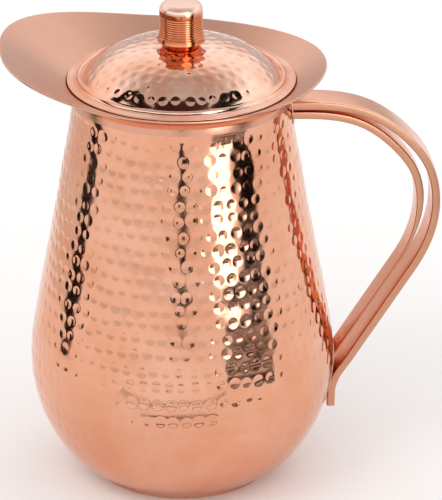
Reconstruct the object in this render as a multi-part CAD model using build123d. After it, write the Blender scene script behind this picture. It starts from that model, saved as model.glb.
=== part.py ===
from build123d import *
import math
import os

# Copper water jug with a lift-off lid: a bulbous hammered body on a low foot, a separate flared
# collar with a long pouring lip, and a handle of two flat bars, one nested inside the other.
# Origin at the centre of the foot, +Z up, the pouring lip towards -X, the handle towards +X.

# ---- body shell and base (mm) ----
shell_wall = 1.0
foot_radius = 43.4
foot_height = 3.4
foot_width = 2.6
foot_round = 0.6
base_plate_thickness = 1.2
shell_seat_width = 1.4
shell_seat_step = 0.2
belly_radius = 75.5
belly_height = 57.0
bowl_corner_radius = 63.4
bowl_corner_height = 20.0
bowl_start = (0.36, 2.9)
neck_radius = 54.2
neck_top = 203.1
shoulder_shares = ((0.86, 0.226), (0.46, 0.547), (0.15, 0.814))
solder_gap = 0.05

# ---- rim collar ----
collar_sheet = 1.0
skirt_overlap = 3.6
throat_bend = 5.5
lip_slope = 0.57
side_slope = 0.41
collar_centre_x = -12.0
spout_reach = 77.0
heel_reach = 83.4
collar_half_width = 72.4
spout_bluntness = 2.35
flare_top = 30.0
throat_shares = (0.0, 0.35, 0.62, 0.85, 1.0)

# ---- handle ----
grip_width = 18.4
grip_thickness = 4.2
inner_bar_width = 15.4
inner_bar_thickness = 3.9
inner_tail_thickness = 1.1
inner_bar_share = 0.93
gap_at_neck = 1.5
gap_at_bend = 3.8
gap_at_leg = 4.8
gap_over_bend = (0.02, 0.42)
gap_down_leg = (0.42, 0.62)
thinning = (0.44, 0.70)
grip_top_drop = 3.0
grip_root_rise = 0.5
bend_reaches = ((91.6, 4.9), (111.4, 18.4), (124.4, 36.2))
grip_reach = 128.0
grip_reach_height = 142.0
grip_under_reach = (124.8, 122.4)
leg_top = (115.6, 104.0)
leg_foot = (85.2, 57.0)
grip_end = (76.3, 32.0)
toe_lean = 0.8
toe_knee_share = 0.45
bar_stations = 25
solder_film = 0.4
solder_margin = 1.2

# ---- lid ----
lid_sheet = 0.9
lid_clearance = 0.3
brim_reach = 2.0
brim_rise = 1.1
brim_lap = 1.4
bead_inset = 6.0
bead_section = 0.9
bead_sink = 0.1
dome_inset = 7.1
dome_height = 15.6
dome_exponent = 3.6
ring_clearance = 0.6
ring_wall = 1.0
ring_depth = 9.0

# ---- knob and its screw ----
knob_radius = 11.0
knob_flare_radius = 12.1
knob_foot_radius = 8.7
knob_height = 22.6
knob_flare_share = 0.16
knob_waist_share = 0.26
knob_waist_swell = 0.2
knob_shoulder_draw = 0.3
knob_top_round = 3.8
knob_bore_spare = 1.0
screw_radius = 2.0
screw_clearance = 0.15
screw_engagement = 12.0
screw_head_radius = 4.0
screw_head_height = 2.4
screw_slot_width = 0.9
screw_slot_depth = 1.1
washer_radius = 6.0
washer_thickness = 0.8

# ---- values that follow from the sizes above ----
beyond = 4 * belly_radius
skirt_bottom = neck_top - skirt_overlap
grip_top = skirt_bottom - grip_top_drop
mouth_radius = neck_radius - shell_wall
brim_radius = neck_radius + brim_reach
bead_radius = brim_radius - bead_inset
dome_radius = brim_radius - dome_inset


def at(radius, height):
    """A point of an outline in the XZ plane."""
    return Vector(radius, 0, height)


def smooth_curve(points, start, end):
    """A curve through the points that leaves along start and arrives along end."""
    return Spline(points, tangents=[start, end], tangent_scalars=[1, 1])


def moved_out(path, shift, stations):
    """The path again, moved sideways to its right by shift(station)."""
    points = []
    for station in stations:
        direction = path % station
        side = Vector(direction.Z, 0, -direction.X)
        points.append(path @ station + side * shift(station))
    return Spline(points)


def spread(count):
    """Even stations from 0 to 1."""
    return [index / (count - 1) for index in range(count)]


def shell_path():
    """The outside of the body from the foot up to the start of the skirt."""
    swell = belly_radius - neck_radius
    climb = skirt_bottom - belly_height
    spread_out = bowl_corner_radius - foot_radius
    points = [
        at(foot_radius, foot_height),
        at(foot_radius + bowl_start[0] * spread_out, foot_height + bowl_start[1]),
        at(bowl_corner_radius, bowl_corner_height),
        at(belly_radius, belly_height),
    ]
    for swell_share, climb_share in shoulder_shares:
        points.append(at(neck_radius + swell_share * swell, belly_height + climb_share * climb))
    points.append(at(neck_radius, skirt_bottom))
    return smooth_curve(points, (1, 0, 0.12), (0, 0, 1))


def revolved(edges):
    """The solid that the closed outline sweeps round the jug's axis."""
    return revolve(make_face(edges), Axis.Z, 360)


def outline(points):
    """Straight edges through the points."""
    return [Line(a, b) for a, b in zip(points[:-1], points[1:])]


def shell_side(shift):
    """The outside of the body moved outwards by shift."""
    return moved_out(shell_path(), lambda station: shift, spread(13))


def shell_envelope(extra):
    """The body as a filled solid, grown by extra all round above the foot."""
    side = shell_side(extra)
    top = at(0, neck_top)
    closing = outline([side @ 1, at(neck_radius + extra, neck_top), top, at(0, (side @ 0).Z), side @ 0])
    return revolved([side] + closing)


def body_shell():
    """One raised sheet: bowl, belly and neck, open at the mouth and under the base plate."""
    outside = shell_side(0)
    inside = shell_side(-shell_wall)
    plate_edge = foot_radius - shell_seat_width
    inside_foot = inside @ 0
    top_edge = outline([outside @ 1, at(neck_radius, neck_top), at(mouth_radius, neck_top), inside @ 1])
    lip = at(plate_edge, inside_foot.Z - shell_seat_step)
    seat = outline([inside_foot, lip, at(plate_edge, foot_height), outside @ 0])
    return revolved([outside, inside] + top_edge + seat)


def ring(outer, inner, bottom, top):
    """A plain round ring on the jug's axis, or a disc where inner is 0."""
    height = top - bottom
    disc = Pos(0, 0, bottom) * Cylinder(outer, height, align=(Align.CENTER, Align.CENTER, Align.MIN))
    if inner == 0:
        return disc
    return disc - Pos(0, 0, bottom) * Cylinder(inner, height, align=(Align.CENTER, Align.CENTER, Align.MIN))


def foot_ring():
    """The folded ring that the jug stands on."""
    plain = ring(foot_radius, foot_radius - foot_width, 0, foot_height)
    lower_edges = plain.edges().group_by(Axis.Z)[0]
    return fillet(lower_edges, min(foot_round, foot_width / 4))


def base_plate():
    """The disc that closes the body, resting on the foot ring."""
    radius = foot_radius - shell_seat_width - solder_gap
    return ring(radius, 0, foot_height, foot_height + base_plate_thickness)


def flare_radius(rise, bend, start, slope):
    """Radius of the collar at a height above the skirt: a quarter bend, then a straight flare."""
    lean = math.atan(slope)
    bend_rise = bend * math.cos(lean)
    if rise < bend_rise:
        return start + bend - math.sqrt(bend ** 2 - rise ** 2)
    return start + bend * (1 - math.sin(lean)) + (rise - bend_rise) / slope


def flare_section(rise, bend, start):
    """One level section of the flare, wider across the jug than along it."""
    along = flare_radius(rise, bend, start, lip_slope)
    across = flare_radius(rise, bend, start, side_slope)
    return Pos(0, 0, neck_top + rise) * Ellipse(along, across)


def flare(bend, start, low):
    """The filled space inside the collar: straight up from low, the throat's bend, then the flare."""
    knee = bend * math.cos(math.atan(lip_slope))
    bend_rises = [share * knee for share in throat_shares]
    throat = loft([flare_section(rise, bend, start) for rise in bend_rises])
    straight = loft([flare_section(rise, bend, start) for rise in (knee, flare_top)], ruled=True)
    return throat + straight + ring(start, 0, low, neck_top)


def collar_plan():
    """The collar's edge seen from above: a blunt spout half and a plain elliptical heel half."""
    spout = []
    for index in range(9):
        turn = math.pi / 2 + index * math.pi / 8
        along = math.copysign(abs(math.cos(turn)) ** (2 / spout_bluntness), math.cos(turn))
        across = math.copysign(abs(math.sin(turn)) ** (2 / spout_bluntness), math.sin(turn))
        spout.append((collar_centre_x + spout_reach * along, collar_half_width * across))
    spout_edge = smooth_curve(spout, (-1, 0), (1, 0))
    middle = (collar_centre_x, 0)
    heel = EllipticalCenterArc(middle, heel_reach, collar_half_width, start_angle=-90, arc_size=180)
    return make_face([spout_edge, heel])


def rim_collar():
    """The flared sheet with its pouring lip, and the short skirt that sleeves the neck."""
    upper = flare(throat_bend, neck_radius, skirt_bottom - 1)
    lower = flare(throat_bend - collar_sheet, neck_radius + collar_sheet, skirt_bottom)
    plan = Pos(0, 0, skirt_bottom) * extrude(collar_plan(), 2 * flare_top)
    bore = ring(neck_radius + solder_gap, 0, skirt_bottom - 1, neck_top)
    return ((lower - upper) & plan) - bore


def grip_path():
    """The outside of the handle: over the bend, down the straight leg and onto the belly."""
    points = [at(neck_radius - 2 * shell_wall, grip_top + grip_root_rise)]
    for reach, drop in bend_reaches:
        points.append(at(reach, grip_top - drop))
    points += [at(grip_reach, grip_reach_height), at(*grip_under_reach), at(*leg_top)]
    leg_run = (leg_foot[0] - leg_top[0], 0, leg_foot[1] - leg_top[1])
    bend = smooth_curve(points, (1, 0, -0.02), leg_run)
    leg = Line(bend @ 1, at(*leg_foot))
    knee_height = toe_knee_share * leg_foot[1] + (1 - toe_knee_share) * grip_end[1]
    toe_middle = at(grip_end[0] + toe_lean, knee_height)
    toe = smooth_curve([at(*leg_foot), toe_middle, at(*grip_end)], leg % 1, (-0.06, 0, -1))
    return Wire([bend, leg, toe])


def ease(value, low, high):
    """A smooth step from 0 at low to 1 at high."""
    share = min(1.0, max(0.0, (value - low) / (high - low)))
    return share * share * (3 - 2 * share)


def gap_between_bars(station):
    """Space between the two bars: nearly closed at the neck, widest in the leg."""
    over_bend = gap_at_neck + (gap_at_bend - gap_at_neck) * ease(station, *gap_over_bend)
    return over_bend + (gap_at_leg - gap_at_bend) * ease(station, *gap_down_leg)


def inner_thickness(station):
    """The inner bar thins over the bend to the tongue that runs down the leg."""
    return inner_bar_thickness + (inner_tail_thickness - inner_bar_thickness) * ease(station, *thinning)


def ribbon(near, far, width):
    """A flat bar between two side lines in the XZ plane."""
    ends = [Line(near @ 0, far @ 0), Line(near @ 1, far @ 1)]
    face = make_face([near, far] + ends)
    return extrude(face, width / 2, dir=(0, 1, 0), both=True)


def outer_bar_blank():
    """The outer bar before its ends are fitted to the shell."""
    path = grip_path()
    stations = spread(bar_stations)
    outside = moved_out(path, lambda station: 0, stations)
    inside = moved_out(path, lambda station: grip_thickness, stations)
    return ribbon(outside, inside, grip_width)


def inner_bar_blank():
    """The inner bar before its ends are fitted to the shell."""
    path = grip_path()
    stations = [inner_bar_share * station for station in spread(bar_stations)]
    outside = moved_out(path, lambda station: grip_thickness + gap_between_bars(station), stations)
    depth = lambda station: grip_thickness + gap_between_bars(station) + inner_thickness(station)
    return ribbon(outside, moved_out(path, depth, stations), inner_bar_width)


def fitted(bar, envelope):
    """The part of a bar that is outside the shell and its film of solder."""
    trimmed = bar - envelope
    return trimmed.solids().sort_by(SortBy.VOLUME)[-1]


def solder_pad(bars, envelope, film_outside, low, high):
    """The film of solder between the bars' ends and the shell, a little wider than the bars."""
    band = Pos(0, 0, low) * Box(beyond, beyond, high - low, align=(Align.CENTER, Align.CENTER, Align.MIN))
    buried = [(bar & film_outside & band).bounding_box() for bar in bars]
    bottom = max(low, min(box.min.Z for box in buried) - solder_margin)
    top = min(high, max(box.max.Z for box in buried) + solder_margin)
    size = (2 * belly_radius, grip_width + 2 * solder_margin, top - bottom)
    block = Pos(neck_radius / 2, 0, bottom) * Box(*size, align=(Align.MIN, Align.CENTER, Align.MIN))
    return (block & film_outside) - envelope


def dome_point(share):
    """A point of the outside of the lid's dome, from its top at 0 to the bead at 1."""
    fall = dome_height * share ** dome_exponent
    return at(dome_radius * share, dome_top() - fall)


def brim_bottom():
    """Height of the brim's lower edge, held off the collar by the lid's clearance."""
    throat_rise = math.sqrt(throat_bend ** 2 - (throat_bend - brim_reach) ** 2)
    return neck_top + throat_rise + lid_clearance


def dome_top():
    """Height of the top of the dome."""
    return brim_bottom() + lid_sheet + brim_rise + dome_height


def lid_dome():
    """The spun lid: dome, raised bead and nearly flat brim, in one sheet."""
    shares = [0.0, 0.3, 0.5, 0.66, 0.8, 0.9, 0.96, 1.0]
    rim_slope = dome_point(1) - dome_point(0.97)
    outside = smooth_curve([dome_point(share) for share in shares], (1, 0, 0), rim_slope)
    inside = moved_out(outside, lambda station: lid_sheet, spread(12))
    dome = revolved([outside, inside, Line(outside @ 0, inside @ 0), Line(outside @ 1, inside @ 1)])
    edge_low = brim_bottom()
    foot_low = edge_low + brim_rise
    brim_points = [
        at(dome_radius - brim_lap, foot_low),
        at(brim_radius, edge_low),
        at(brim_radius, edge_low + lid_sheet),
        at(dome_radius - brim_lap, foot_low + lid_sheet),
        at(dome_radius - brim_lap, foot_low),
    ]
    brim = revolved(outline(brim_points))
    bead = Pos(0, 0, foot_low + lid_sheet - bead_sink) * Torus(bead_radius, bead_section)
    screw_hole = Cylinder(screw_radius + screw_clearance, 4 * knob_height)
    return dome + brim + bead - Pos(0, 0, dome_top()) * screw_hole


def lid_locating_ring(lid):
    """The ring under the brim that drops into the neck and keeps the lid central."""
    outer = mouth_radius - ring_clearance
    top = brim_bottom() + brim_rise
    return (ring(outer, outer - ring_wall, top - ring_depth, top) - lid).solids().sort_by(SortBy.VOLUME)[-1]


def lid_knob():
    """A turned thimble with a flared foot, a rounded top and a blind hole for its screw."""
    low = dome_top() + solder_gap
    top = low + knob_height
    flare_point = at(knob_flare_radius, low + knob_flare_share * knob_height)
    waist = at(knob_radius + knob_waist_swell, low + knob_waist_share * knob_height)
    shoulder = at(knob_radius - knob_shoulder_draw, top - knob_top_round)
    side = smooth_curve([flare_point, waist, shoulder], (-0.6, 0, 1), (-0.02, 0, 1))
    corner_cut = 0.29 * knob_top_round  # a quarter circle's middle is this far inside its corner
    crown_middle = at(shoulder.X - corner_cut, top - corner_cut)
    crown_end = at(shoulder.X - knob_top_round, top)
    crown = smooth_curve([shoulder, crown_middle, crown_end], (0, 0, 1), (-1, 0, 0))
    foot = at(knob_foot_radius, low)
    closing = outline([crown @ 1, at(0, top), at(0, low), foot, side @ 0])
    bore = ring(screw_radius + solder_gap, 0, low, low + screw_engagement + knob_bore_spare)
    return revolved([side, crown] + closing) - bore


def knob_washer():
    """The washer under the lid that spreads the screw's load."""
    under = dome_top() - lid_sheet
    bore = screw_radius + screw_clearance
    return ring(washer_radius, bore, under - washer_thickness, under)


def knob_screw():
    """The slotted screw that comes up through the lid into the knob."""
    seat = dome_top() - lid_sheet - washer_thickness
    low = seat - screw_head_height
    head = ring(screw_head_radius, 0, low, seat)
    head = fillet(head.edges().group_by(Axis.Z)[0], screw_head_height / 3)
    shank = ring(screw_radius, 0, seat, dome_top() + screw_engagement)
    slot = Pos(0, 0, low) * Box(4 * screw_head_radius, screw_slot_width, 2 * screw_slot_depth)
    return head + shank - slot


def build():
    """Every piece of the jug, by the name of its node."""
    envelope = shell_envelope(0)
    film_outside = shell_envelope(solder_film)
    bars = [outer_bar_blank(), inner_bar_blank()]
    middle = (belly_height + skirt_bottom) / 2
    collar_edge = skirt_bottom - solder_gap
    lid = lid_dome()
    return {
        "body_shell": body_shell(),
        "foot_ring": foot_ring(),
        "base_plate": base_plate(),
        "rim_collar": rim_collar(),
        "handle_outer_bar": fitted(bars[0], film_outside),
        "handle_inner_bar": fitted(bars[1], film_outside),
        "handle_top_solder": solder_pad(bars, envelope, film_outside, middle, collar_edge),
        "handle_foot_solder": solder_pad(bars, envelope, film_outside, 0, middle),
        "lid_dome": lid,
        "lid_locating_ring": lid_locating_ring(lid),
        "lid_knob": lid_knob(),
        "knob_washer": knob_washer(),
        "knob_screw": knob_screw(),
    }


os.makedirs("parts", exist_ok=True)
for node_name, piece in build().items():
    export_step(piece, f"parts/{node_name}.step")
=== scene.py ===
import math

import bpy
import numpy as np
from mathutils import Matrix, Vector


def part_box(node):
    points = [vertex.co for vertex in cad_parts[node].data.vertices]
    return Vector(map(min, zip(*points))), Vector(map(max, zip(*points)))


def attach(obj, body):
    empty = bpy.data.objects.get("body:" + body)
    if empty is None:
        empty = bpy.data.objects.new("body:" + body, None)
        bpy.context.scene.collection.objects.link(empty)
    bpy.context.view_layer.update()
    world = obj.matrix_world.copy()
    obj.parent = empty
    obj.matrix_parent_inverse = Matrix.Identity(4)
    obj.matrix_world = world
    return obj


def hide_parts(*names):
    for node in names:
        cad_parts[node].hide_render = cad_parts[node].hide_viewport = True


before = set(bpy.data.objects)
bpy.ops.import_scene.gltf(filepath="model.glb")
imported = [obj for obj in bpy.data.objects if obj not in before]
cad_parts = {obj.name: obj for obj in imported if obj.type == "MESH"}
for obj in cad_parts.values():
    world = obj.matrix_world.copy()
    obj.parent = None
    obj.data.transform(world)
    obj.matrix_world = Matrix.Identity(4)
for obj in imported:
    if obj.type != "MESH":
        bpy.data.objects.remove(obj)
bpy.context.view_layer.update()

# Shapes are worked out in millimetres in the CAD frame and stored in metres
mm = 0.001
dice = np.random.default_rng(11)
print("frame loaded:", len(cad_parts), "CAD nodes")


# Faces of a grid of points: each quad joins a point to its right, diagonal and next-row neighbours
def gridFaces(rows, columns, closedRows):
    index = np.arange(rows * columns).reshape(rows, columns)
    right = np.roll(index, -1, axis=1)
    below = np.roll(index, -1, axis=0)
    diagonal = np.roll(right, -1, axis=0)
    quads = np.stack([index, right, diagonal, below], axis=-1)
    if not closedRows:
        quads = quads[:-1]
    return quads.reshape(-1, 4)


# Volume inside the faces: the sum of a corner's dot product with the cross product of the next two, over six
def signedVolume(points, triangles):
    a, b, c = points[triangles[:, 0]], points[triangles[:, 1]], points[triangles[:, 2]]
    return np.einsum("ij,ij->i", a, np.cross(b, c)).sum() / 6


# One closed mesh object from a grid (rows, columns, 3) that always closes round its columns.
# Rows close on themselves, or each end closes on one point at the middle of its row.
def addPiece(name, grid, material, body, stands=(), closedRows=True, normals=None,
             fields=None, sharp=None):
    rows, columns = grid.shape[:2]
    points = grid.reshape(-1, 3) * mm
    quads = gridFaces(rows, columns, closedRows)
    triangles = np.zeros((0, 3), int)
    if not closedRows:
        ends = np.stack([grid[0].mean(axis=0), grid[-1].mean(axis=0)]) * mm
        first = np.arange(columns)
        last = first + (rows - 1) * columns
        startFan = np.stack([np.full(columns, len(points)), np.roll(first, -1), first], axis=-1)
        endFan = np.stack([last, np.roll(last, -1), np.full(columns, len(points) + 1)], axis=-1)
        triangles = np.concatenate([startFan, endFan])
        points = np.concatenate([points, ends])
    split = np.concatenate([quads[:, [0, 1, 2]], quads[:, [0, 2, 3]], triangles])
    if signedVolume(points, split) < 0:
        quads, triangles = quads[:, ::-1], triangles[:, ::-1]
    corners = np.concatenate([quads.ravel(), triangles.ravel()])
    sizes = np.concatenate([np.full(len(quads), 4), np.full(len(triangles), 3)])
    mesh = bpy.data.meshes.new(name)
    mesh.vertices.add(len(points))
    mesh.vertices.foreach_set("co", points.astype(np.float32).ravel())
    mesh.loops.add(len(corners))
    mesh.loops.foreach_set("vertex_index", corners.astype(np.int32))
    mesh.polygons.add(len(sizes))
    mesh.polygons.foreach_set("loop_start", (np.cumsum(sizes) - sizes).astype(np.int32))
    mesh.polygons.foreach_set("use_smooth", np.ones(len(sizes), bool))
    mesh.update(calc_edges=True)
    mesh.validate()
    for fieldName, values in (fields or {}).items():
        filled = np.zeros(len(points), np.float32)
        filled[:rows * columns] = values.ravel()
        mesh.attributes.new(fieldName, "FLOAT", "POINT").data.foreach_set("value", filled)
    if sharp is not None:
        mesh.set_sharp_from_angle(angle=math.radians(sharp))
    if normals is not None:
        mesh.normals_split_custom_set_from_vertices(normals.reshape(-1, 3))
    mesh.materials.append(material)
    piece = bpy.data.objects.new(name, mesh)
    bpy.context.scene.collection.objects.link(piece)
    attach(piece, body)
    if stands:
        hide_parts(*stands)
    return piece


# Unit normals of a grid: the cross product of its slopes along the columns and along the rows
def gridNormals(grid):
    wrapped = np.concatenate([grid[:, -1:], grid, grid[:, :1]], axis=1)
    across = np.gradient(wrapped, axis=1)[:, 1:-1]
    along = np.gradient(grid, axis=0)
    normals = np.cross(across, along)
    return normals / np.linalg.norm(normals, axis=-1, keepdims=True)


# A smooth curve through points: cubic pieces over the chord lengths that agree in slope and bend
# at each point, and leave and arrive along the two directions; given at evenly spaced stations
def smoothCurve(points, start, end, count):
    points = np.array(points, float)
    chords = np.linalg.norm(np.diff(points, axis=0), axis=1)
    stations = np.concatenate([[0], np.cumsum(chords)])
    size = len(points)
    matrix = np.eye(size)
    right = np.zeros(points.shape)
    right[0] = np.array(start) / np.linalg.norm(start)
    right[-1] = np.array(end) / np.linalg.norm(end)
    for inner in range(1, size - 1):
        before, after = chords[inner - 1], chords[inner]
        matrix[inner, inner - 1:inner + 2] = after, 2 * (before + after), before
        rise = after * (points[inner] - points[inner - 1]) / before
        right[inner] = 3 * (rise + before * (points[inner + 1] - points[inner]) / after)
    slopes = np.linalg.solve(matrix, right)
    asked = np.linspace(0, stations[-1], count)
    piece = np.clip(np.searchsorted(stations, asked, side="right") - 1, 0, size - 2)
    length = chords[piece][:, None]
    t = (asked - stations[piece])[:, None] / length
    return (points[piece] * (1 + 2 * t) * (1 - t) ** 2 + slopes[piece] * length * t * (1 - t) ** 2
            + points[piece + 1] * t * t * (3 - 2 * t) + slopes[piece + 1] * length * t * t * (t - 1))


# The same path at evenly spaced lengths
def evenly(path, count):
    lengths = np.concatenate([[0], np.cumsum(np.linalg.norm(np.diff(path, axis=0), axis=1))])
    asked = np.linspace(0, lengths[-1], count)
    return np.stack([np.interp(asked, lengths, path[:, axis]) for axis in range(path.shape[1])], axis=-1)


# Directions a quarter turn to the right of a plane path
def rightOf(path):
    along = np.gradient(path, axis=0)
    along /= np.linalg.norm(along, axis=1, keepdims=True)
    return np.stack([along[:, 1], -along[:, 0]], axis=-1)


# An arc in a plane, from one angle to another in degrees
def arc(centre, radius, first, last, count):
    turn = np.radians(np.linspace(first, last, count))
    return np.stack([centre[0] + radius * np.cos(turn), centre[1] + radius * np.sin(turn)], axis=-1)


# A turned shape: each point of the outline (radius, height) carried round the jug's axis
def turned(outline, columns, inward=None):
    turn = np.linspace(0, 2 * math.pi, columns, endpoint=False)
    outline = np.asarray(outline, float)
    radius = np.repeat(outline[:, :1], columns, axis=1)
    height = np.repeat(outline[:, 1:], columns, axis=1)
    if inward is not None:
        side = rightOf(outline)
        radius = radius - side[:, :1] * inward
        height = height - side[:, 1:] * inward
    return np.stack([radius * np.cos(turn), radius * np.sin(turn), height], axis=-1)


# Smooth step from 0 at low to 1 at high
def ease(value, low, high):
    share = np.clip((value - low) / (high - low), 0, 1)
    return share * share * (3 - 2 * share)


# Depth of round hammer marks over a turned surface. Marks lie in level rows, each with a whole number
# of marks; a point's depth falls as one minus its squared distance from the nearest mark, with a soft rim
def hammered(lengths, radii, columns, rowCentres, look):
    turn = np.linspace(0, 2 * math.pi, columns, endpoint=False)[None, :]
    rowCentres = np.array(rowCentres)
    rowRadii = np.interp(rowCentres, lengths, radii)
    counts = np.maximum(5, np.round(2 * math.pi * rowRadii / look["spacing"])).astype(int)
    most = counts.max()
    lean = dice.uniform(0, 1, len(counts))
    rowTurn = np.arange(most)[None, :] / counts[:, None] * 2 * math.pi
    lobes = dice.integers(2, 6, len(counts))[:, None]
    drift = look["sway"] * np.sin(lobes * rowTurn + dice.uniform(0, 6.3, (len(counts), 1)))
    offAlong = dice.normal(0, look["wander"], (len(counts), most)) + drift
    offAcross = dice.normal(0, look["wander"], (len(counts), most))
    size = look["size"] / 2 * dice.uniform(1 - look["mixed"], 1 + look["mixed"], (len(counts), most))
    force = look["depth"] * dice.uniform(1 - 2 * look["mixed"], 1 + look["mixed"] / 2, (len(counts), most))
    patches = np.sin(dice.integers(2, 7) * rowTurn + rowCentres[:, None] / dice.uniform(9, 16))
    force = force * (1 - look["patchy"] / 2 * (1 + patches))
    nearest = np.abs(lengths[:, None] - rowCentres[None, :]).argmin(axis=1)
    depth = np.zeros((len(lengths), columns))
    for step in (-1, 0, 1):
        row = np.clip(nearest + step, 0, len(counts) - 1)[:, None]
        place = turn / (2 * math.pi) * counts[row] - lean[row]
        for side in (-1, 0, 1):
            mark = np.round(place).astype(int) + side
            which = mark % counts[row]
            across = (place - mark) * 2 * math.pi * radii[:, None] / counts[row] - offAcross[row, which]
            along = lengths[:, None] - rowCentres[row] - offAlong[row, which]
            fall = 1 - (across ** 2 + along ** 2) / size[row, which] ** 2
            dish = force[row, which] * (fall + np.sqrt(fall ** 2 + look["rim"] ** 2)) / 2
            depth = np.maximum(depth, np.where(fall > -0.6, dish, 0))
    return depth


# Slow waves left by hand work: a few sine waves along and round the surface, added up
def wavy(lengths, columns, height, waves=7):
    turn = np.linspace(0, 2 * math.pi, columns, endpoint=False)[None, :]
    total = np.zeros((len(lengths), columns))
    for count in range(waves):
        lobes = dice.integers(4, 17)
        pitch = dice.uniform(16, 60)
        phase = dice.uniform(0, 2 * math.pi, 2)
        total += np.sin(lobes * turn + phase[0]) * np.sin(lengths[:, None] * 2 * math.pi / pitch + phase[1])
    return height * (total / waves + 0.5)


class Maker:
    # Short hand for building one material's nodes
    def __init__(self, name, metallic=1.0):
        self.material = bpy.data.materials.new(name)
        self.material.use_nodes = True
        self.nodes = self.material.node_tree.nodes
        self.links = self.material.node_tree.links
        self.shader = self.nodes["Principled BSDF"]
        self.shader.inputs["Metallic"].default_value = metallic

    def add(self, kind, inputs=None, **settings):
        node = self.nodes.new(kind)
        for setting, value in settings.items():
            setattr(node, setting, value)
        for socket, value in (inputs or {}).items():
            if isinstance(value, bpy.types.NodeSocket):
                self.links.new(value, node.inputs[socket])
            else:
                node.inputs[socket].default_value = value
        return node

    def place(self, scale=(1, 1, 1)):
        coordinates = self.add("ShaderNodeTexCoord").outputs["Object"]
        return self.add("ShaderNodeMapping", {"Vector": coordinates, "Scale": scale}).outputs["Vector"]

    def noise(self, scale, detail=3.0, stretch=(1, 1, 1), roughness=0.55):
        wanted = {"Vector": self.place(stretch), "Scale": scale, "Detail": detail, "Roughness": roughness}
        return self.add("ShaderNodeTexNoise", wanted).outputs["Fac"]

    def between(self, value, low, high, toLow, toHigh):
        wanted = {"Value": value, "From Min": low, "From Max": high, "To Min": toLow, "To Max": toHigh}
        return self.add("ShaderNodeMapRange", wanted).outputs["Result"]

    def mix(self, share, first, second, kind="MIX"):
        node = self.add("ShaderNodeMix", data_type="RGBA", blend_type=kind)
        for socket, value in ((0, share), (6, first), (7, second)):
            if isinstance(value, bpy.types.NodeSocket):
                self.links.new(value, node.inputs[socket])
            else:
                node.inputs[socket].default_value = value
        return node.outputs[2]

    def field(self, name):
        return self.add("ShaderNodeAttribute", attribute_name=name).outputs["Fac"]

    def rings(self, scale):
        # Fine turning marks: noise that changes only with the distance from the axis
        parts = self.add("ShaderNodeSeparateXYZ", {"Vector": self.place()})
        flat = self.add("ShaderNodeCombineXYZ", {"X": parts.outputs["X"], "Y": parts.outputs["Y"]})
        reach = self.add("ShaderNodeVectorMath", {0: flat.outputs["Vector"]}, operation="LENGTH")
        wanted = {"W": reach.outputs["Value"], "Scale": scale, "Detail": 4.0}
        return self.add("ShaderNodeTexNoise", wanted, noise_dimensions="1D").outputs["Fac"]

    def levels(self, scale):
        # Fine marks that change only with the height
        parts = self.add("ShaderNodeSeparateXYZ", {"Vector": self.place()})
        wanted = {"W": parts.outputs["Z"], "Scale": scale, "Detail": 4.0}
        return self.add("ShaderNodeTexNoise", wanted, noise_dimensions="1D").outputs["Fac"]

    def clouds(self, scale, most):
        # Broad soft patches
        return self.between(self.noise(scale, 4), 0.35, 0.7, 0, most)

    def specked(self, colour, scale, most, detail=4, high=0.8):
        # Small tarnished specks over a colour
        specks = self.between(self.noise(scale, detail), 0.66, high, 0, most)
        return self.mix(specks, colour, copperLook["tarnish"])

    def polish(self, scale, low, high):
        # Roughness that wanders between two values
        return self.between(self.noise(scale, 5), 0.3, 0.75, low, high)

    def dulled(self, roughness, field, most):
        # Rougher where the piece's field says so
        wanted = {0: self.field(field), 1: most, 2: roughness}
        return self.add("ShaderNodeMath", wanted, operation="MULTIPLY_ADD").outputs["Value"]

    def bump(self, height, strength, distance, under=None):
        wanted = {"Height": height, "Strength": strength, "Distance": distance}
        if under is not None:
            wanted["Normal"] = under
        return self.add("ShaderNodeBump", wanted).outputs["Normal"]

    def finish(self, colour, roughness, normal):
        self.links.new(colour, self.shader.inputs["Base Color"])
        self.links.new(roughness, self.shader.inputs["Roughness"])
        self.links.new(normal, self.shader.inputs["Normal"])
        return self.material


copperLook = {
    "clean": (0.82, 0.435, 0.295, 1),
    "warm": (0.77, 0.345, 0.205, 1),
    # pink: lighter copper, a painted highlight on the lid and the knob's cap, and the colour of the worn
    # handle edges
    "pink": (0.96, 0.645, 0.52, 1),
    "rose": (0.68, 0.37, 0.27, 1),
    # deep: dark orange used as painted shade on the collar's underside, the handle's loop faces and the
    # knob's wall
    "deep": (0.68, 0.21, 0.09, 1),
    "cut": (0.58, 0.30, 0.19, 1),
    "tarnish": (0.60, 0.22, 0.11, 1),
}


hammeredLook = {
    "cloudScale": 30,
    "hollowWarmth": 0.42,
    "speckScale": 230,
    "speckShare": 0.22,
    "polishScale": 75,
    "satinExtra": 0.3,
    "peelScale": 330,
    "peelDepth": 0.00006,
    "scratchScale": 260,
    "scratchDepth": 0.00003,
}


# Polished hammered sheet: bright, with warmer hollows and a light orange-peel between the marks
def hammeredCopper(name, base="clean", polish=(0.07, 0.17)):
    maker, look = Maker(name), hammeredLook
    colour = maker.mix(maker.clouds(look["cloudScale"], 1), copperLook[base], copperLook["warm"])
    hollow = maker.between(maker.field("hollow"), 0.1, 1, 0, look["hollowWarmth"])
    colour = maker.mix(hollow, colour, copperLook["warm"])
    colour = maker.specked(colour, look["speckScale"], look["speckShare"])
    roughness = maker.dulled(maker.polish(look["polishScale"], *polish), "satin", look["satinExtra"])
    peel = maker.bump(maker.noise(look["peelScale"], 3), 0.25, look["peelDepth"])
    scratches = maker.noise(look["scratchScale"], 4, stretch=(1, 1, 9))
    return maker.finish(colour, roughness, maker.bump(scratches, 0.16, look["scratchDepth"], peel))


satinLook = {
    "cloudScale": 22,
    "cloudShare": 0.3,
    "ringScale": 2600,
    "ringWarmth": 0.35,
    "ringDepth": 0.00005,
    "speckScale": 240,
    "speckShare": 0.12,
    "polishScale": 90,
    "outsideExtra": -0.16,
    "grainScale": 700,
    "grainDepth": 0.00004,
}


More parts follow.
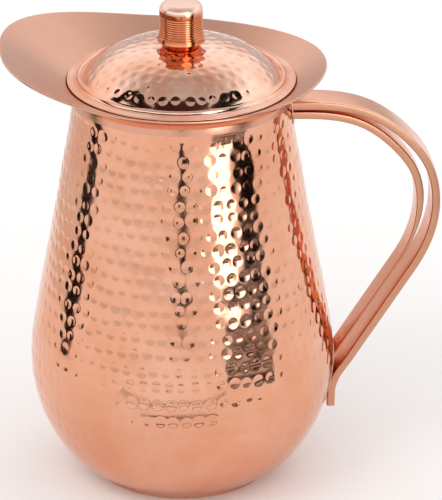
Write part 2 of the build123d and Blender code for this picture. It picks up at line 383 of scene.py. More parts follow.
# Satin spun sheet: fine rings of turning marks and a soft sheen
def satinCopper(name, base="rose", shine=(0.24, 0.36)):
    maker, look = Maker(name), satinLook
    clouds = maker.clouds(look["cloudScale"], look["cloudShare"])
    colour = maker.mix(clouds, copperLook[base], copperLook["clean"])
    rings = maker.rings(look["ringScale"])
    colour = maker.mix(maker.between(rings, 0.45, 0.8, 0, look["ringWarmth"]), colour, copperLook["warm"])
    # Painted shade and reflection: where the "outside" field is set, on the flare's underside, the colour is
    # pulled towards the deep colour to stand in for the darker copper the underside reflects
    colour = maker.mix(maker.field("outside"), colour, copperLook["deep"])
    colour = maker.specked(colour, look["speckScale"], look["speckShare"], 3, 0.82)
    roughness = maker.dulled(maker.polish(look["polishScale"], *shine), "outside", look["outsideExtra"])
    turning = maker.bump(rings, 0.22, look["ringDepth"])
    grain = maker.noise(look["grainScale"], 4)
    return maker.finish(colour, roughness, maker.bump(grain, 0.12, look["grainDepth"], turning))


barLook = {
    "cloudScale": 26,
    "cloudShare": 0.8,
    "strokeScale": 60,
    "strokeStretch": (0.12, 22, 0.12),
    "strokeWarmth": 0.3,
    "strokeDepth": 0.00005,
    "wornShare": 0.6,
    "innerFaceShadeShare": 0.75,
    "sideShare": 0.9,
    "speckScale": 240,
    "speckShare": 0.22,
    "polishScale": 110,
    "polish": (0.15, 0.27),
    "sideExtra": 0.1,
    "grainScale": 800,
    "grainDepth": 0.00003,
}


# Drawn flat bar: brushed along its length, brighter where hands wear its edges
def handleCopper(name):
    maker, look = Maker(name), barLook
    clouds = maker.clouds(look["cloudScale"], look["cloudShare"])
    colour = maker.mix(clouds, copperLook["clean"], copperLook["warm"])
    strokes = maker.noise(look["strokeScale"], 4, stretch=look["strokeStretch"])
    colour = maker.mix(maker.between(strokes, 0.4, 0.75, 0, look["strokeWarmth"]), colour, copperLook["warm"])
    # Painted shade: the faces turned into the handle's loop, towards the body, are pulled towards the deep
    # colour
    for field, start, share, tone in (("edge", 0.2, "wornShare", "pink"), ("inner", 0, "innerFaceShadeShare", "deep"),
                                      ("side", 0, "sideShare", "cut")):
        where = maker.between(maker.field(field), start, 1, 0, look[share])
        colour = maker.mix(where, colour, copperLook[tone])
    colour = maker.specked(colour, look["speckScale"], look["speckShare"])
    roughness = maker.dulled(maker.polish(look["polishScale"], *look["polish"]), "side", look["sideExtra"])
    brushed = maker.bump(strokes, 0.3, look["strokeDepth"])
    grain = maker.noise(look["grainScale"], 3)
    return maker.finish(colour, roughness, maker.bump(grain, 0.1, look["grainDepth"], brushed))


turnedLook = {
    "cloudScale": 60,
    "cloudShare": 0.6,
    "grooveWarmth": 0.4,
    "markScale": 1900,
    "markDepth": 0.00005,
    "polishScale": 300,
    "polish": (0.1, 0.18),
    "capExtra": 0.2,
    "grainScale": 900,
    "grainDepth": 0.00003,
}


# Turned thimble: level tool marks on a polished wall. The wall's dark orange, varied in patches towards the
# tarnish colour, is painted shade standing in for the dark things it reflects; the pink cap is a painted
# highlight, and the cap's extra roughness is its satin finish
def turnedCopper(name):
    maker, look = Maker(name), turnedLook
    clouds = maker.clouds(look["cloudScale"], look["cloudShare"])
    wall = maker.mix(clouds, copperLook["deep"], copperLook["tarnish"])
    colour = maker.mix(maker.field("cap"), wall, copperLook["pink"])
    groove = maker.between(maker.field("groove"), 0.2, 1, 0, look["grooveWarmth"])
    colour = maker.mix(groove, colour, copperLook["warm"])
    roughness = maker.dulled(maker.polish(look["polishScale"], *look["polish"]), "cap", look["capExtra"])
    turning = maker.bump(maker.levels(look["markScale"]), 0.2, look["markDepth"])
    grain = maker.noise(look["grainScale"], 3)
    return maker.finish(colour, roughness, maker.bump(grain, 0.1, look["grainDepth"], turning))


steelLook = {
    "bright": (0.62, 0.61, 0.59, 1),
    "dull": (0.44, 0.43, 0.42, 1),
    "roughness": (0.24, 0.42),
    "ringScale": 5000,
    "ringDepth": 0.00004,
}


# Plated steel with fine turning marks
def screwSteel(name):
    maker, look = Maker(name), steelLook
    colour = maker.mix(maker.between(maker.noise(300, 4), 0.3, 0.7, 0, 1), look["bright"], look["dull"])
    roughness = maker.between(maker.noise(900, 4), 0.3, 0.7, *look["roughness"])
    return maker.finish(colour, roughness, maker.bump(maker.rings(look["ringScale"]), 0.3, look["ringDepth"]))


solderLook = {
    "light": (0.80, 0.44, 0.30, 1),
    "dark": (0.66, 0.34, 0.21, 1),
    "roughness": (0.26, 0.44),
    "lumpScale": 420,
    "lumpDepth": 0.00012,
}


# Brazed film, copper coloured with a duller, lumpy skin
def solderSkin(name):
    maker, look = Maker(name), solderLook
    colour = maker.mix(maker.clouds(160, 1), look["light"], look["dark"])
    roughness = maker.between(maker.noise(500, 4), 0.3, 0.7, *look["roughness"])
    lumps = maker.noise(look["lumpScale"], 4)
    return maker.finish(colour, roughness, maker.bump(lumps, 0.5, look["lumpDepth"]))


bodyFinish = hammeredCopper("hammered copper")
# Painted highlight: the lid takes the lighter pink copper in place of the body's clean copper, for the
# brighter light it catches on top
lidFinish = hammeredCopper("hammered lid copper", "pink", (0.06, 0.13))
collarFinish = satinCopper("satin copper")
footFinish = satinCopper("foot copper", "clean", (0.14, 0.26))
barFinish = handleCopper("handle copper")
knobFinish = turnedCopper("turned copper")
steelFinish = screwSteel("screw steel")
solderFinish = solderSkin("solder")
print("materials made")


bodySizes = {
    "footRadius": 43.4,
    "footHeight": 3.4,
    "footWidth": 2.6,
    "bowlStart": (0.36, 2.9),  # share of the way out to the corner, and rise
    "bowlCorner": (63.4, 20.0),
    "bellyRadius": 75.5,
    "bellyHeight": 57.0,
    "neckRadius": 54.2,
    "shoulders": ((0.86, 0.226), (0.46, 0.547), (0.15, 0.814)),  # shares of the width and of the climb
    "skirtBottom": 199.5,
    "neckTop": 203.1,
    "wall": 1.0,
    "seat": 1.4,
    "seatStep": 0.15,
    "innerRows": 9,
}

bodyHammer = {
    "spacing": 6.5,
    "size": 5.2,
    "depth": 0.37,
    "wander": 0.36,
    "mixed": 0.16,
    "patchy": 0.45,
    "rim": 0.14,
    "sway": 0.45,
    "rowPitch": 7.4,
    "lowRowGrowth": 0.35,
    "firstRow": 6.2,
    "fadeFrom": 42.0,
    "fadeTo": 14.0,
    "dents": 0.34,
    "plainTop": (1.5, 4.0),
    "plainFoot": (4.0, 14.0),
    "columns": 840,
    "rowStep": 0.62,
    "bands": 4,
}


# The outside of the body: a smooth curve from the foot through the bowl's corner and the belly to the neck
def bodyOutline(count):
    s = bodySizes
    shoulder = s["bellyRadius"] - s["neckRadius"]
    climb = s["skirtBottom"] - s["bellyHeight"]
    startShare, startRise = s["bowlStart"]
    points = [
        (s["footRadius"], s["footHeight"]),
        (s["footRadius"] + startShare * (s["bowlCorner"][0] - s["footRadius"]), s["footHeight"] + startRise),
        s["bowlCorner"],
        (s["bellyRadius"], s["bellyHeight"]),
        *[(s["neckRadius"] + width * shoulder, s["bellyHeight"] + height * climb)
          for width, height in s["shoulders"]],
        (s["neckRadius"], s["skirtBottom"]),
    ]
    curve = smoothCurve(points, (1, 0.12), (0, 1), 900)
    neck = np.array([[s["neckRadius"], s["neckTop"]]])
    return evenly(np.concatenate([curve, neck]), count)


# Each band of the wall is a closed ring: hammered outside going up, smooth inside coming down
def makeBody():
    s, h = bodySizes, bodyHammer
    fine = bodyOutline(4000)
    total = np.linalg.norm(np.diff(fine, axis=0), axis=1).sum()
    rows = int(total / h["rowStep"])
    outside = evenly(fine, rows)
    lengths = np.linspace(0, total, rows)
    skirt = np.interp(s["skirtBottom"], outside[:, 1], lengths)
    fadeEnd = np.interp(h["fadeTo"], outside[:, 1], lengths)
    steps = h["rowPitch"] * (1 + h["lowRowGrowth"] * ease(np.arange(40), 12, 22))
    centres = skirt - h["firstRow"] - np.cumsum(steps) + steps[0]
    centres = centres[centres > fadeEnd][::-1]
    strength = ease(outside[:, 1], h["fadeTo"], h["fadeFrom"])[:, None]
    marks = hammered(lengths, outside[:, 0], h["columns"], centres, h) * strength
    plainTop = ease(lengths, skirt - h["plainTop"][0], skirt - h["plainTop"][1])[:, None]
    plainFoot = ease(outside[:, 1], *h["plainFoot"])[:, None]
    dents = wavy(lengths, h["columns"], h["dents"]) * plainTop * plainFoot
    grid = turned(outside, h["columns"], marks + dents)
    normals = gridNormals(grid)
    insidePath = outside - rightOf(outside) * s["wall"]
    cuts = np.linspace(0, rows - 1, h["bands"] + 1).astype(int)
    for band in range(h["bands"]):
        low, high = cuts[band], cuts[band + 1]
        inner = insidePath[np.linspace(high, low, s["innerRows"]).astype(int)]
        if band == h["bands"] - 1:
            inner[0] = s["neckRadius"] - s["wall"], s["neckTop"]
        if band == 0:
            plate = s["footRadius"] - s["seat"]
            seat = [(plate, inner[-1][1] - s["seatStep"]), (plate, s["footHeight"])]
            inner = np.concatenate([inner, seat])
        innerGrid = turned(inner, h["columns"])
        whole = np.concatenate([grid[low:high + 1], innerGrid])
        shading = np.concatenate([normals[low:high + 1], -gridNormals(innerGrid[::-1])[::-1]])
        hollow = np.zeros(whole.shape[:2])
        hollow[:high + 1 - low] = marks[low:high + 1] / h["depth"]
        stands = ("body_shell",) if band == 0 else ()
        addPiece(f"bodyWall{band + 1}", whole, bodyFinish, "jug", stands,
                 normals=shading, fields={"hollow": hollow})
    return fine


bodyLine = makeBody()
print("body walls made")


footSizes = {
    "outerLow": 0.7,  # corner radii
    "outerTop": 0.35,
    "innerTop": 0.3,
    "innerLow": 0.6,
    "topDrop": 0.05,
    "columns": 288,
}


# The folded foot: a ring with rounded corners, small at the top and large where it stands
def makeFoot():
    s, f = bodySizes, footSizes
    outer, inner, top = s["footRadius"], s["footRadius"] - s["footWidth"], s["footHeight"] - f["topDrop"]
    outline = np.concatenate([
        arc((outer - f["outerLow"], f["outerLow"]), f["outerLow"], -90, 0, 7),
        arc((outer - f["outerTop"], top - f["outerTop"]), f["outerTop"], 0, 90, 6),
        arc((inner + f["innerTop"], top - f["innerTop"]), f["innerTop"], 90, 180, 5),
        arc((inner + f["innerLow"], f["innerLow"]), f["innerLow"], 180, 270, 7),
    ])
    grid = turned(outline, f["columns"])
    addPiece("footRing", grid, footFinish, "jug", ("foot_ring",), sharp=50)


baseSizes = {
    "pressAt": 0.8,  # share of the radius
    "pressDepth": 0.25,
    "pressWidth": 1.2,
    "dish": 0.12,
    "corner": 0.2,
    "middle": 0.4,
    "rows": 60,
    "columns": 240,
}


# The base: a thin disc, dished by a parabola, with a shallow pressed ring shaped like a bell curve
def makeBase():
    b = baseSizes
    low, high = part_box("base_plate")
    edge = high.x / mm
    bottom, top = low.z / mm, high.z / mm
    reach = np.linspace(b["middle"], edge - b["corner"], b["rows"])
    press = b["pressDepth"] * np.exp(-((reach - b["pressAt"] * edge) / b["pressWidth"]) ** 2)
    press = press + b["dish"] * (1 - (reach / edge) ** 2)
    under = np.stack([reach, bottom + press], axis=-1)
    upper = np.stack([reach[::-1], np.full(b["rows"], top)], axis=-1)
    outline = np.concatenate([under, [(edge, bottom + b["corner"]), (edge, top - b["corner"])], upper])
    addPiece("basePlate", turned(outline, b["columns"]), footFinish, "jug", ("base_plate",),
             closedRows=False, sharp=50)


makeFoot()
makeBase()
print("foot and base made")


collarSizes = {
    "sheet": 1.0,
    "throatBend": 5.5,
    "lipSlope": 0.57,
    "sideSlope": 0.41,
    "centre": -12.0,
    "spoutReach": 77.0,
    "heelReach": 83.4,
    "halfWidth": 72.4,
    "bluntness": 2.35,
    "inset": 0.85,
    "clearOfNeck": 0.06,
    "skirtStep": 0.3,
    "tallest": 40.0,
    "rowCrowding": 1.5,
    "rows": 56,
    "edgeRows": 8,
    "columns": 480,
}


# Radius at a height over the skirt: a quarter bend of the throat, then a straight flare of one slope
def flareRadius(rise, slope):
    s = collarSizes
    bend, start = s["throatBend"], bodySizes["neckRadius"]
    lean = math.atan(slope)
    knee = bend * math.cos(lean)
    curved = start + bend - np.sqrt(np.maximum(bend ** 2 - np.minimum(rise, knee) ** 2, 0))
    return np.where(rise < knee, curved, start + bend * (1 - math.sin(lean)) + (rise - knee) / slope)


# How far out of the collar's plan a point is: below 1 inside. A blunt half towards the spout
# and a plain half ellipse towards the handle
def outOfPlan(x, y):
    s = collarSizes
    along = x - s["centre"]
    power = np.where(along < 0, s["bluntness"], 2.0)
    reach = np.where(along < 0, s["spoutReach"], s["heelReach"]) - s["inset"]
    return (np.abs(along) / reach) ** power + (np.abs(y) / (s["halfWidth"] - s["inset"])) ** power


# The flare: level sections are ellipses whose two radii follow their own slopes, up to where each
# meridian leaves the plan; the sheet lies under that surface, with a half-round edge
def makeCollar():
    s = collarSizes
    neck = bodySizes["neckRadius"]
    turn = np.linspace(0, 2 * math.pi, s["columns"], endpoint=False)
    low, high = np.zeros(s["columns"]), np.full(s["columns"], s["tallest"])
    for halving in range(40):
        middle = (low + high) / 2
        x = flareRadius(middle, s["lipSlope"]) * np.cos(turn)
        y = flareRadius(middle, s["sideSlope"]) * np.sin(turn)
        out = outOfPlan(x, y) > 1
        high = np.where(out, middle, high)
        low = np.where(out, low, middle)
    share = np.linspace(0, 1, s["rows"])[:, None] ** s["rowCrowding"]
    rise = share * low[None, :]
    x = flareRadius(rise, s["lipSlope"]) * np.cos(turn)
    y = flareRadius(rise, s["sideSlope"]) * np.sin(turn)
    throat = np.stack([x, y, bodySizes["neckTop"] + rise], axis=-1)
    skirtRadius = neck + s["clearOfNeck"]
    skirtTop = bodySizes["neckTop"] - s["skirtStep"]
    skirt = turned([(skirtRadius, bodySizes["skirtBottom"]), (skirtRadius, skirtTop)], s["columns"])
    upper = np.concatenate([skirt, throat])
    normals = gridNormals(upper)
    inwards = -normals if (normals[0] * upper[0])[..., :2].sum() > 0 else normals
    inwards[:2] = -np.stack([np.cos(turn), np.sin(turn), 0 * turn], axis=-1)
    half = s["sheet"] / 2
    core = upper - inwards * half
    outwards = core[-1] - core[-2]
    outwards /= np.linalg.norm(outwards, axis=-1, keepdims=True)
    swing = np.radians(np.linspace(20, 160, s["edgeRows"]))[:, None, None]
    edge = core[-1] + half * (np.cos(swing) * inwards[-1] + np.sin(swing) * outwards)
    under = (core - inwards * half)[::-1]
    grid = np.concatenate([upper, edge, under])
    outside = np.zeros(grid.shape[:2])  # how far the sheet's underside is darkened: painted shade for the reflection of the body under the flare
    outside[-len(under):-2] = 0.9
    outside[-2:] = 0.1
    addPiece("rimCollar", grid, collarFinish, "jug", ("rim_collar",),
             fields={"outside": outside}, sharp=60)


makeCollar()
print("collar made")


handleSizes = {
    "gripWidth": 18.4,
    "gripThickness": 4.2,
    "innerWidth": 15.4,
    "innerThickness": 3.9,
    "tailThickness": 1.1,
    "gaps": (1.5, 3.8, 4.8),
    "gapOpens": (0.02, 0.42),  # shares of the inner bar's length
    "gapWidens": (0.42, 0.62),
    "thins": (0.44, 0.7),
    "gripTop": 196.5,
    "rootRise": 0.5,
    "bends": ((91.6, 4.9), (111.4, 18.4), (124.4, 36.2)),  # reach, and drop from the top
    "reach": (128.0, 142.0),
    "underReach": (124.8, 122.4),
    "legTop": (115.6, 104.0),
    "legFoot": (85.2, 57.0),
    "toe": (76.3, 32.0),
    "toeLean": 0.8,
    "toeKnee": 0.45,
    "corner": 0.65,
    "crown": 0.15,
    "buried": 0.35,
    "innerEnd": 0.93,
    "rootGap": 0.2,
    "rootStations": 22,
    "restsBelow": 80.0,
    "wornBand": (2.2, 0.9),
    "sideBand": (0.3, 0.02),
    "stations": 420,
}


# The outside line of the handle: over the bend, down a straight leg and onto the belly
def gripLine(count):
    s = handleSizes
    top = s["gripTop"]
    legRun = (s["legFoot"][0] - s["legTop"][0], s["legFoot"][1] - s["legTop"][1])
    points = [
        (bodySizes["neckRadius"] - 2, top + s["rootRise"]),
        *[(reach, top - drop) for reach, drop in s["bends"]],
        s["reach"],
        s["underReach"],
        s["legTop"],
    ]
    bend = smoothCurve(points, (1, -0.02), legRun, 600)
    knee = s["toeKnee"] * s["legFoot"][1] + (1 - s["toeKnee"]) * s["toe"][1]
    middle = (s["toe"][0] + s["toeLean"], knee)
    toe = smoothCurve([s["legFoot"], middle, s["toe"]], legRun, (-0.06, -1), 200)
    leg = np.linspace(s["legTop"], s["legFoot"], 150)[1:-1]
    return evenly(np.concatenate([bend, leg, toe]), count)


# Section of a bar: flat faces with a slight crown, joined by round corners; one row of (across, deep)
def barSection(width, corner, crown):
    side = width / 2 - corner
    flats = np.linspace(side, -side, 15)[1:-1]
    lift = crown * (1 - (flats / side) ** 2)
    turnA = np.radians(np.linspace(0, 90, 7))
    turnB = np.radians(np.linspace(90, 180, 7))
    across = np.concatenate([side + corner * np.cos(turnA), flats, -side + corner * np.cos(turnB)])
    deep = np.concatenate([corner * np.sin(turnA), lift + corner, corner * np.sin(turnB)])
    return across, deep


# A bar carried along a line: each section point goes across by Y and deep along the line's right side.
# The section has unit corners, scaled at each station. Points that would pass into the body lie on it
def makeBar(name, node, line, near, thickness, width, meetsTop):
    s = handleSizes
    right = rightOf(line)
    corner = np.minimum(s["corner"], 0.46 * thickness)[:, None]
    shapeAcross, shapeDeep = barSection(width, 1.0, s["crown"])
    rise = np.where(shapeDeep > 1, shapeDeep - 1, 0)[None, :]
    lift = np.minimum(shapeDeep, 1)[None, :] * corner
    half = (thickness / 2)[:, None]
    deepNear = half - (half - corner + lift) - rise * corner
    deepFar = half + (half - corner + lift)[:, ::-1] + (rise * corner)[:, ::-1]
    deep = near[:, None] + np.concatenate([deepNear, deepFar], axis=1)
    side = np.concatenate([shapeAcross, shapeAcross[::-1]])[None, :] + 0 * deep
    x = line[:, :1] + right[:, :1] * deep
    z = line[:, 1:] + right[:, 1:] * deep
    shellRadius = np.interp(z, bodyLine[:, 1], bodyLine[:, 0])
    surface = np.sqrt(np.maximum(shellRadius ** 2 - side ** 2, 0))
    if meetsTop:
        topFit = surface[:1] - s["buried"] - x[:1]
        fade = 1 - ease(np.arange(len(line)), 0, s["rootStations"])[:, None]
        x = x + topFit * fade
    low = (z < s["restsBelow"]) & (x < surface - s["buried"])
    x = np.where(low, surface - s["buried"], x)
    grid = np.stack([x, side, z], axis=-1)
    fromEdge = width / 2 - np.abs(side)
    far = np.repeat([0.0, 1.0], len(shapeAcross))[None, :] + 0 * deep
    worn = ease(-fromEdge, *(-np.array(s["wornBand"]))) * (fromEdge > 0.05) * (1 - far)
    # The "inner" field marks the faces turned into the loop, which the finish darkens as painted shade
    fields = {"edge": worn, "side": ease(-fromEdge, *(-np.array(s["sideBand"]))), "inner": far}
    return addPiece(name, grid, barFinish, "jug", (node,), closedRows=False,
                    fields=fields, sharp=65)


def makeHandle():
    s = handleSizes
    line = gripLine(s["stations"])
    share = np.linspace(0, 1, len(line)) / s["innerEnd"]
    start = np.searchsorted(line[:, 0], bodySizes["neckRadius"] - s["rootGap"])
    outer = line[start:]
    zeros = np.zeros(len(outer))
    makeBar("handleOuterBar", "handle_outer_bar", outer, zeros + s["crown"],
            zeros + s["gripThickness"] - s["crown"], s["gripWidth"], True)
    first, bend, leg = s["gaps"]
    gap = first + (bend - first) * ease(share, *s["gapOpens"]) + (leg - bend) * ease(share, *s["gapWidens"])
    thick = s["innerThickness"] + (s["tailThickness"] - s["innerThickness"]) * ease(share, *s["thins"])
    near = s["gripThickness"] + gap
    outerFace = line + rightOf(line) * near[:, None]
    clear = outerFace[:, 0] - np.interp(outerFace[:, 1], bodyLine[:, 1], bodyLine[:, 0])
    reached = np.nonzero((share > 0.5 / s["innerEnd"]) & (clear < s["rootGap"]))[0]
    stop = reached[0] if len(reached) else int(s["innerEnd"] * len(line))
    keep = slice(start, stop)
    makeBar("handleInnerBar", "handle_inner_bar", line[keep], near[keep], thick[keep],
            s["innerWidth"], True)


makeHandle()
print("handle made")


lidSizes = {
    "sheet": 0.9,
    "brimBottom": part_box("lid_dome")[0].z / mm,
    "brimRadius": 56.2,
    "brimRise": 1.1,
    "brimLap": 1.4,
    "beadRadius": 50.2,
    "beadSection": 0.9,
    "beadSink": 0.1,
    "secondBead": (52.3, 0.42, 0.08),  # radius, section and sink
    "edgeRound": 0.46,
    "underStart": 1.2,
    "domeRadius": 49.1,
    "domeHeight": 15.6,
    "domeExponent": 3.6,
    "screwHole": 2.15,
    "domeRows": 86,
    "underEvery": 11,
    "columns": 600,
}

lidHammer = {
    "spacing": 6.2,
    "size": 4.6,
    "depth": 0.26,
    "wander": 0.28,
    "mixed": 0.16,
    "patchy": 0.3,
    "rim": 0.14,
    "sway": 0.2,
    "ringPitch": 5.9,
    "firstRing": 12.5,
    "lastRing": 2.2,
    "plainEdge": 2.5,
}


# The lid's sheet: a dome that falls as a power of the radius, a half-round bead, a nearly flat brim with
# a second fine bead and a rolled edge, and the same dome again underneath
def makeLid():
    s, h = lidSizes, lidHammer
    brimTop = s["brimBottom"] + s["brimRise"] + s["sheet"]
    top = brimTop + s["domeHeight"]
    reach = np.linspace(s["screwHole"], s["domeRadius"], 900)
    dome = np.stack([reach, top - s["domeHeight"] * (reach / s["domeRadius"]) ** s["domeExponent"]], axis=-1)
    dome = evenly(dome, s["domeRows"])
    slope = s["brimRise"] / (s["brimRadius"] - s["domeRadius"] + s["brimLap"])

    def brimAt(radius):
        return brimTop - slope * (radius - s["domeRadius"] + s["brimLap"])

    bead = arc((s["beadRadius"], brimTop - s["beadSink"]), s["beadSection"], 170, 12, 15)
    fineRadius, fineSection, fineSink = s["secondBead"]
    fineBead = arc((fineRadius, brimAt(fineRadius) - fineSink), fineSection, 165, 15, 9)
    edge, corner = s["brimRadius"], s["edgeRound"]
    flatReach = np.linspace(fineRadius + fineSection + 0.25, edge - 0.9, 8)
    flat = np.stack([flatReach, brimAt(flatReach)], axis=-1)
    roll = arc((edge - corner, brimAt(edge) - 0.42), corner, 80, -90, 12)
    upper = np.concatenate([dome[:-1], bead, fineBead, flat, roll])
    under = dome[::-s["underEvery"]] + (0, -s["sheet"])
    underStart = s["domeRadius"] + s["underStart"]
    underBrim = np.array([(underStart, brimAt(underStart) - s["sheet"])])
    outline = np.concatenate([upper, underBrim, under])[::-1]
    lengths = np.concatenate([[0], np.cumsum(np.linalg.norm(np.diff(dome, axis=0), axis=1))]) + s["screwHole"]
    rings = np.arange(h["firstRing"], lengths[-1] - h["lastRing"], h["ringPitch"])
    marks = hammered(lengths, dome[:, 0], s["columns"], rings, h)
    marks = marks * ease(lengths, lengths[-1], lengths[-1] - h["plainEdge"])[:, None]
    inward = np.zeros((len(outline), s["columns"]))
    inward[-len(dome) + 1:] = marks[-2::-1]
    side = turned(outline, s["columns"], inward)
    hollow = inward / h["depth"]
    satin = np.zeros(hollow.shape)
    satin[len(outline) - len(upper) - 1:len(outline) - len(dome) - len(bead)] = 1
    addPiece("lidDome", side, lidFinish, "lid", ("lid_dome",),
             fields={"hollow": hollow, "satin": satin}, sharp=48)


ringSizes = {
    "wall": 1.0,
    "shoulder": 3.0,
    "columns": 288,
}


# The ring under the brim: a short tube with a round lower edge
def makeLocatingRing():
    r = ringSizes
    low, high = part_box("lid_locating_ring")
    outer, bottom, top = high.x / mm, low.z / mm, high.z / mm
    inner, half, shoulder = outer - r["wall"], r["wall"] / 2, bottom + r["shoulder"]
    outline = np.concatenate([
        arc((outer - half, bottom + half), half, -180, 0, 13),
        [(outer, shoulder), (outer, top), (inner, top), (inner, shoulder)],
    ])
    addPiece("lidLocatingRing", turned(outline, r["columns"]), collarFinish, "lid",
             ("lid_locating_ring",), sharp=50)


makeLid()
makeLocatingRing()
print("lid made")


knobSizes = {
    "radius": 11.0,
    "flareRadius": 12.1,
    "footRadius": 8.7,
    "topRound": 3.8,
    "boreRadius": 2.05,
    "boreDepth": 13.0,
    "flareShare": 0.16,  # shares of the height
    "waistShare": 0.26,
    "waistSwell": 0.2,
    "shoulderDraw": 0.3,
    "capCrown": 0.12,
    "middle": 0.5,
    "footLip": 0.35,
    "footBulge": 1.25,
    "grooves": 10,
    "grooveDepth": 0.24,
    "grooveFrom": 0.24,
    "grooveTo": 0.74,
    "columns": 240,
}


# The knob's outline: a small foot, a flare, a waist, a straight wall with turned grooves (a row of
# shallow cosine hollows) and a rounded top, with a blind bore for the screw
def makeKnob():
    s = knobSizes
    low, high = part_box("lid_knob")
    bottom, top = low.z / mm, high.z / mm
    tall = top - bottom
    shoulder = top - s["topRound"]
    points = [
        (s["flareRadius"], bottom + s["flareShare"] * tall),
        (s["radius"] + s["waistSwell"], bottom + s["waistShare"] * tall),
        (s["radius"] - s["shoulderDraw"], shoulder),
    ]
    wall = evenly(smoothCurve(points, (-0.6, 1), (-0.02, 1), 300), 150)
    share = (wall[:, 1] - bottom) / tall
    place = (share - s["grooveFrom"]) / (s["grooveTo"] - s["grooveFrom"])
    inside = (place > 0) & (place < 1)
    cut = np.where(inside, (1 - np.cos(2 * math.pi * s["grooves"] * place)) / 2, 0) ** 2
    wall[:, 0] = wall[:, 0] - s["grooveDepth"] * cut
    crown = arc((points[2][0] - s["topRound"], shoulder), s["topRound"], 4, 90, 16)
    crownEnd = crown[-1]
    capReach = np.linspace(crownEnd[0], s["middle"], 8)[1:]
    cap = np.stack([capReach, top - s["capCrown"] * (capReach / crownEnd[0]) ** 2], axis=-1)
    crown[:, 1] = crown[:, 1] - s["capCrown"] * ease(crown[:, 1], shoulder, top)
    footRise = s["flareShare"] * tall * np.linspace(0, 0.93, 10) ** s["footBulge"]
    foot = np.stack([np.linspace(s["footRadius"], s["flareRadius"] - s["footLip"], 10), bottom + footRise],
                    axis=-1)
    bore = np.array([(s["middle"], bottom + s["boreDepth"]), (s["boreRadius"], bottom + s["boreDepth"]),
                     (s["boreRadius"], bottom), (s["footRadius"] - 0.3, bottom)])
    outline = np.concatenate([bore, foot, wall, crown, cap])
    groove = np.zeros(len(outline))
    groove[len(bore) + len(foot):len(bore) + len(foot) + len(wall)] = cut
    grid = turned(outline, s["columns"])
    # The cap mask gives the top its painted highlight, a lighter colour than the wall, and its satin
    # roughness
    capHighlightAndSatin = ease(outline[:, 1], shoulder - 0.5, shoulder + 1.5)
    fields = {name: np.repeat(values[:, None], s["columns"], axis=1)
              for name, values in (("groove", groove), ("cap", capHighlightAndSatin))}
    addPiece("lidKnob", grid, knobFinish, "lid", ("lid_knob",), closedRows=False,
             fields=fields, sharp=38)


makeKnob()

# CAD nodes whose shape is right keep it and take a finish of their own
keptNodes = {
    "knob_washer": steelFinish,
    "knob_screw": steelFinish,
    "handle_top_solder": solderFinish,
    "handle_foot_solder": solderFinish,
}
for node, finish in keptNodes.items():
    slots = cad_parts[node].data.materials
    slots.clear()
    slots.append(finish)
print("knob made and small parts finished")


studio = {
    "cameraDistance": 2.6,
    "azimuth": -5.0,
    "elevation": 23.5,
    "lens": 376.8,
    "aimHeight": 0.1163,
    "aimRight": 0.0194,
    "skyTop": 0.56,
    "skyMiddle": 1.32,
    "skyLow": 0.76,
    "skyFront": 1.13,
    "skyBack": 0.84,
    "skyStops": ((0.5, "skyLow"), (0.61, "skyLow"), (0.69, "skyMiddle"), (0.82, "skyMiddle"),
                 (0.97, "skyTop")),
    "floorShade": (0.95, 0.94, 0.935, 1),
    "floorReach": 30,
}

# Degrees round from the camera's side, distance, width, low edge, high edge, tone and lean
cards = {
    "darkLeft": (-91, 0.38, 0.078, 0.0, 0.9, "black", 0),
    "darkFront": (1, 0.35, 0.038, 0.10, 0.17, "black", 0),
    "brightFront": (36, 0.39, 0.12, 0.10, 0.75, "white", 0),
    "darkRight": (59.7, 0.385, 0.12, 0.095, 0.8, "black", 0),
    "darkRow1": (49, 0.39, 0.26, 0.0, 0.024, "black", 0),
    "darkRow2": (49, 0.39, 0.26, 0.034, 0.056, "black", 0),
    "darkRow3": (49, 0.39, 0.26, 0.064, 0.09, "black", 0),
    "duskLeft": (-130, 0.45, 0.7, 0.0, 0.12, "dusk", 0),
    "farEdge": (-6, 0.25, 0.36, 0.0, 0.006, "brown", 0),
    "nearEdge": (-2, 0.175, 0.15, 0.0, 0.005, "brown", 0),
    "darkOver": (0, 1.2, 0.9, -0.24, 0.12, "brown", 68),
    "darkOverRight": (68, 1.2, 0.8, -0.13, 0.10, "black", 57),
    "darkOverLeft": (-68, 1.2, 0.8, -0.13, 0.10, "black", 57),
}

# Compass degrees, elevation, distance, size and power
lights = {
    "keyLight": (-50, 50, 1.8, 0.9, 4),
    "fillLight": (140, 40, 2.0, 1.2, 3),
}


def aimFrom(azimuth, elevation):
    a, e = math.radians(azimuth), math.radians(elevation)
    return np.array([math.sin(a) * math.cos(e), -math.cos(a) * math.cos(e), math.sin(e)])


def addCamera():
    back = aimFrom(studio["azimuth"], studio["elevation"])
    a = math.radians(studio["azimuth"])
    aim = np.array([math.cos(a), math.sin(a), 0]) * studio["aimRight"] + (0, 0, studio["aimHeight"])
    data = bpy.data.cameras.new("camera")
    data.lens = studio["lens"]
    data.clip_end = 100
    camera = bpy.data.objects.new("camera", data)
    bpy.context.scene.collection.objects.link(camera)
    camera.location = aim + back * studio["cameraDistance"]
    camera.rotation_mode = "QUATERNION"
    camera.rotation_quaternion = (-Vector(back)).to_track_quat("-Z", "Y")
    bpy.context.scene.camera = camera


def plainMaterial(name, colour, glow=0.0):
    material = bpy.data.materials.new(name)
    material.use_nodes = True
    shader = material.node_tree.nodes["Principled BSDF"]
    shader.inputs["Base Color"].default_value = colour
    shader.inputs["Roughness"].default_value = 0.9
    shader.inputs["Specular IOR Level"].default_value = 0.0
    shader.inputs["Emission Color"].default_value = colour
    shader.inputs["Emission Strength"].default_value = glow
    return material


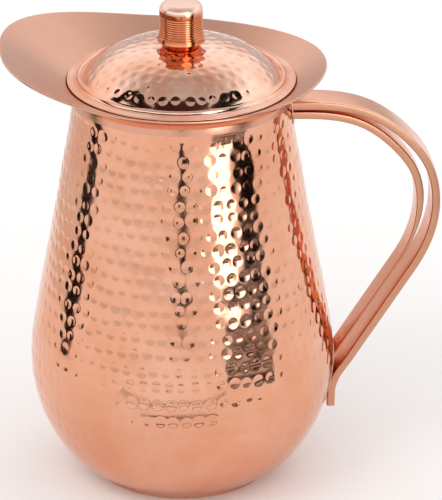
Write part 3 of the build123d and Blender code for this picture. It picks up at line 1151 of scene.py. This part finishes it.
# A flat panel seen only in the metal. It faces the jug from an angle off the camera's side, either
# standing between two heights or, with a lean, hung overhead
def addPanel(name, fromCamera, distance, width, low, high, material, lean):
    back = aimFrom(studio["azimuth"] + fromCamera, lean)
    across = np.cross((0, 0, 1), back)
    across /= np.linalg.norm(across)
    up = np.cross(back, across)
    middle = back * distance + (0, 0, 0.12 if lean else 0)
    corners = [middle + across * width / 2 * i + up * height
               for i, height in ((-1, low), (1, low), (1, high), (-1, high))]
    mesh = bpy.data.meshes.new(name)
    mesh.from_pydata([tuple(c) for c in corners], [], [(0, 1, 2, 3)])
    mesh.materials.append(material)
    panel = bpy.data.objects.new(name, mesh)
    bpy.context.scene.collection.objects.link(panel)
    panel.visible_camera = False
    panel.visible_diffuse = False
    panel.visible_shadow = False


def addFloor():
    mesh = bpy.data.meshes.new("floor")
    reach = studio["floorReach"]
    mesh.from_pydata([(-reach, -reach, 0), (reach, -reach, 0), (reach, reach, 0), (-reach, reach, 0)],
                     [], [(0, 1, 2, 3)])
    mesh.materials.append(plainMaterial("paleFloor", studio["floorShade"]))
    floor = bpy.data.objects.new("floor", mesh)
    bpy.context.scene.collection.objects.link(floor)


def addLight(name, azimuth, elevation, distance, size, power):
    data = bpy.data.lights.new(name, "AREA")
    data.shape = "DISK"
    data.size = size
    data.energy = power
    light = bpy.data.objects.new(name, data)
    bpy.context.scene.collection.objects.link(light)
    back = aimFrom(azimuth, elevation)
    light.location = back * distance + (0, 0, 0.1)
    light.rotation_mode = "QUATERNION"
    light.rotation_quaternion = (-Vector(back)).to_track_quat("-Z", "Y")
    light.visible_camera = False
    light.visible_glossy = False


# A white tent: even light, brightest a little over the horizon
def addTent():
    world = bpy.data.worlds.new("tent")
    bpy.context.scene.world = world
    world.use_nodes = True
    nodes, links = world.node_tree.nodes, world.node_tree.links
    background = nodes["Background"]
    ramp = nodes.new("ShaderNodeValToRGB")
    stops = ramp.color_ramp.elements
    for height, level in studio["skyStops"]:
        stops.new(height).color = (studio[level],) * 3 + (1,)
    stops.remove(stops[-1])
    stops.remove(stops[0])
    parts = nodes.new("ShaderNodeSeparateXYZ")
    links.new(nodes.new("ShaderNodeTexCoord").outputs["Generated"], parts.inputs["Vector"])
    half = nodes.new("ShaderNodeMapRange")
    half.inputs["From Min"].default_value = -1
    links.new(parts.outputs["Z"], half.inputs["Value"])
    links.new(half.outputs["Result"], ramp.inputs["Fac"])
    links.new(ramp.outputs["Color"], background.inputs["Color"])
    facing = nodes.new("ShaderNodeMapRange")
    facing.inputs["From Min"].default_value = -1
    facing.inputs["To Min"].default_value = studio["skyFront"]
    facing.inputs["To Max"].default_value = studio["skyBack"]
    links.new(parts.outputs["Y"], facing.inputs["Value"])
    links.new(facing.outputs["Result"], background.inputs["Strength"])


addCamera()
addFloor()
addTent()
tones = {
    "black": plainMaterial("blackCard", (0.004, 0.003, 0.003, 1)),
    "brown": plainMaterial("brownCard", (0.05, 0.022, 0.015, 1)),
    "dusk": plainMaterial("duskCard", (0.78, 0.76, 0.74, 1)),
    "white": plainMaterial("whiteCard", (1, 0.97, 0.95, 1), 3.2),
}
for name, (fromCamera, distance, width, low, high, tone, lean) in cards.items():
    addPanel(name, fromCamera, distance, width, low, high, tones[tone], lean)
for name, (azimuth, elevation, distance, size, power) in lights.items():
    addLight(name, azimuth, elevation, distance, size, power)
bpy.context.scene.view_settings.view_transform = "Standard"
print("studio made")
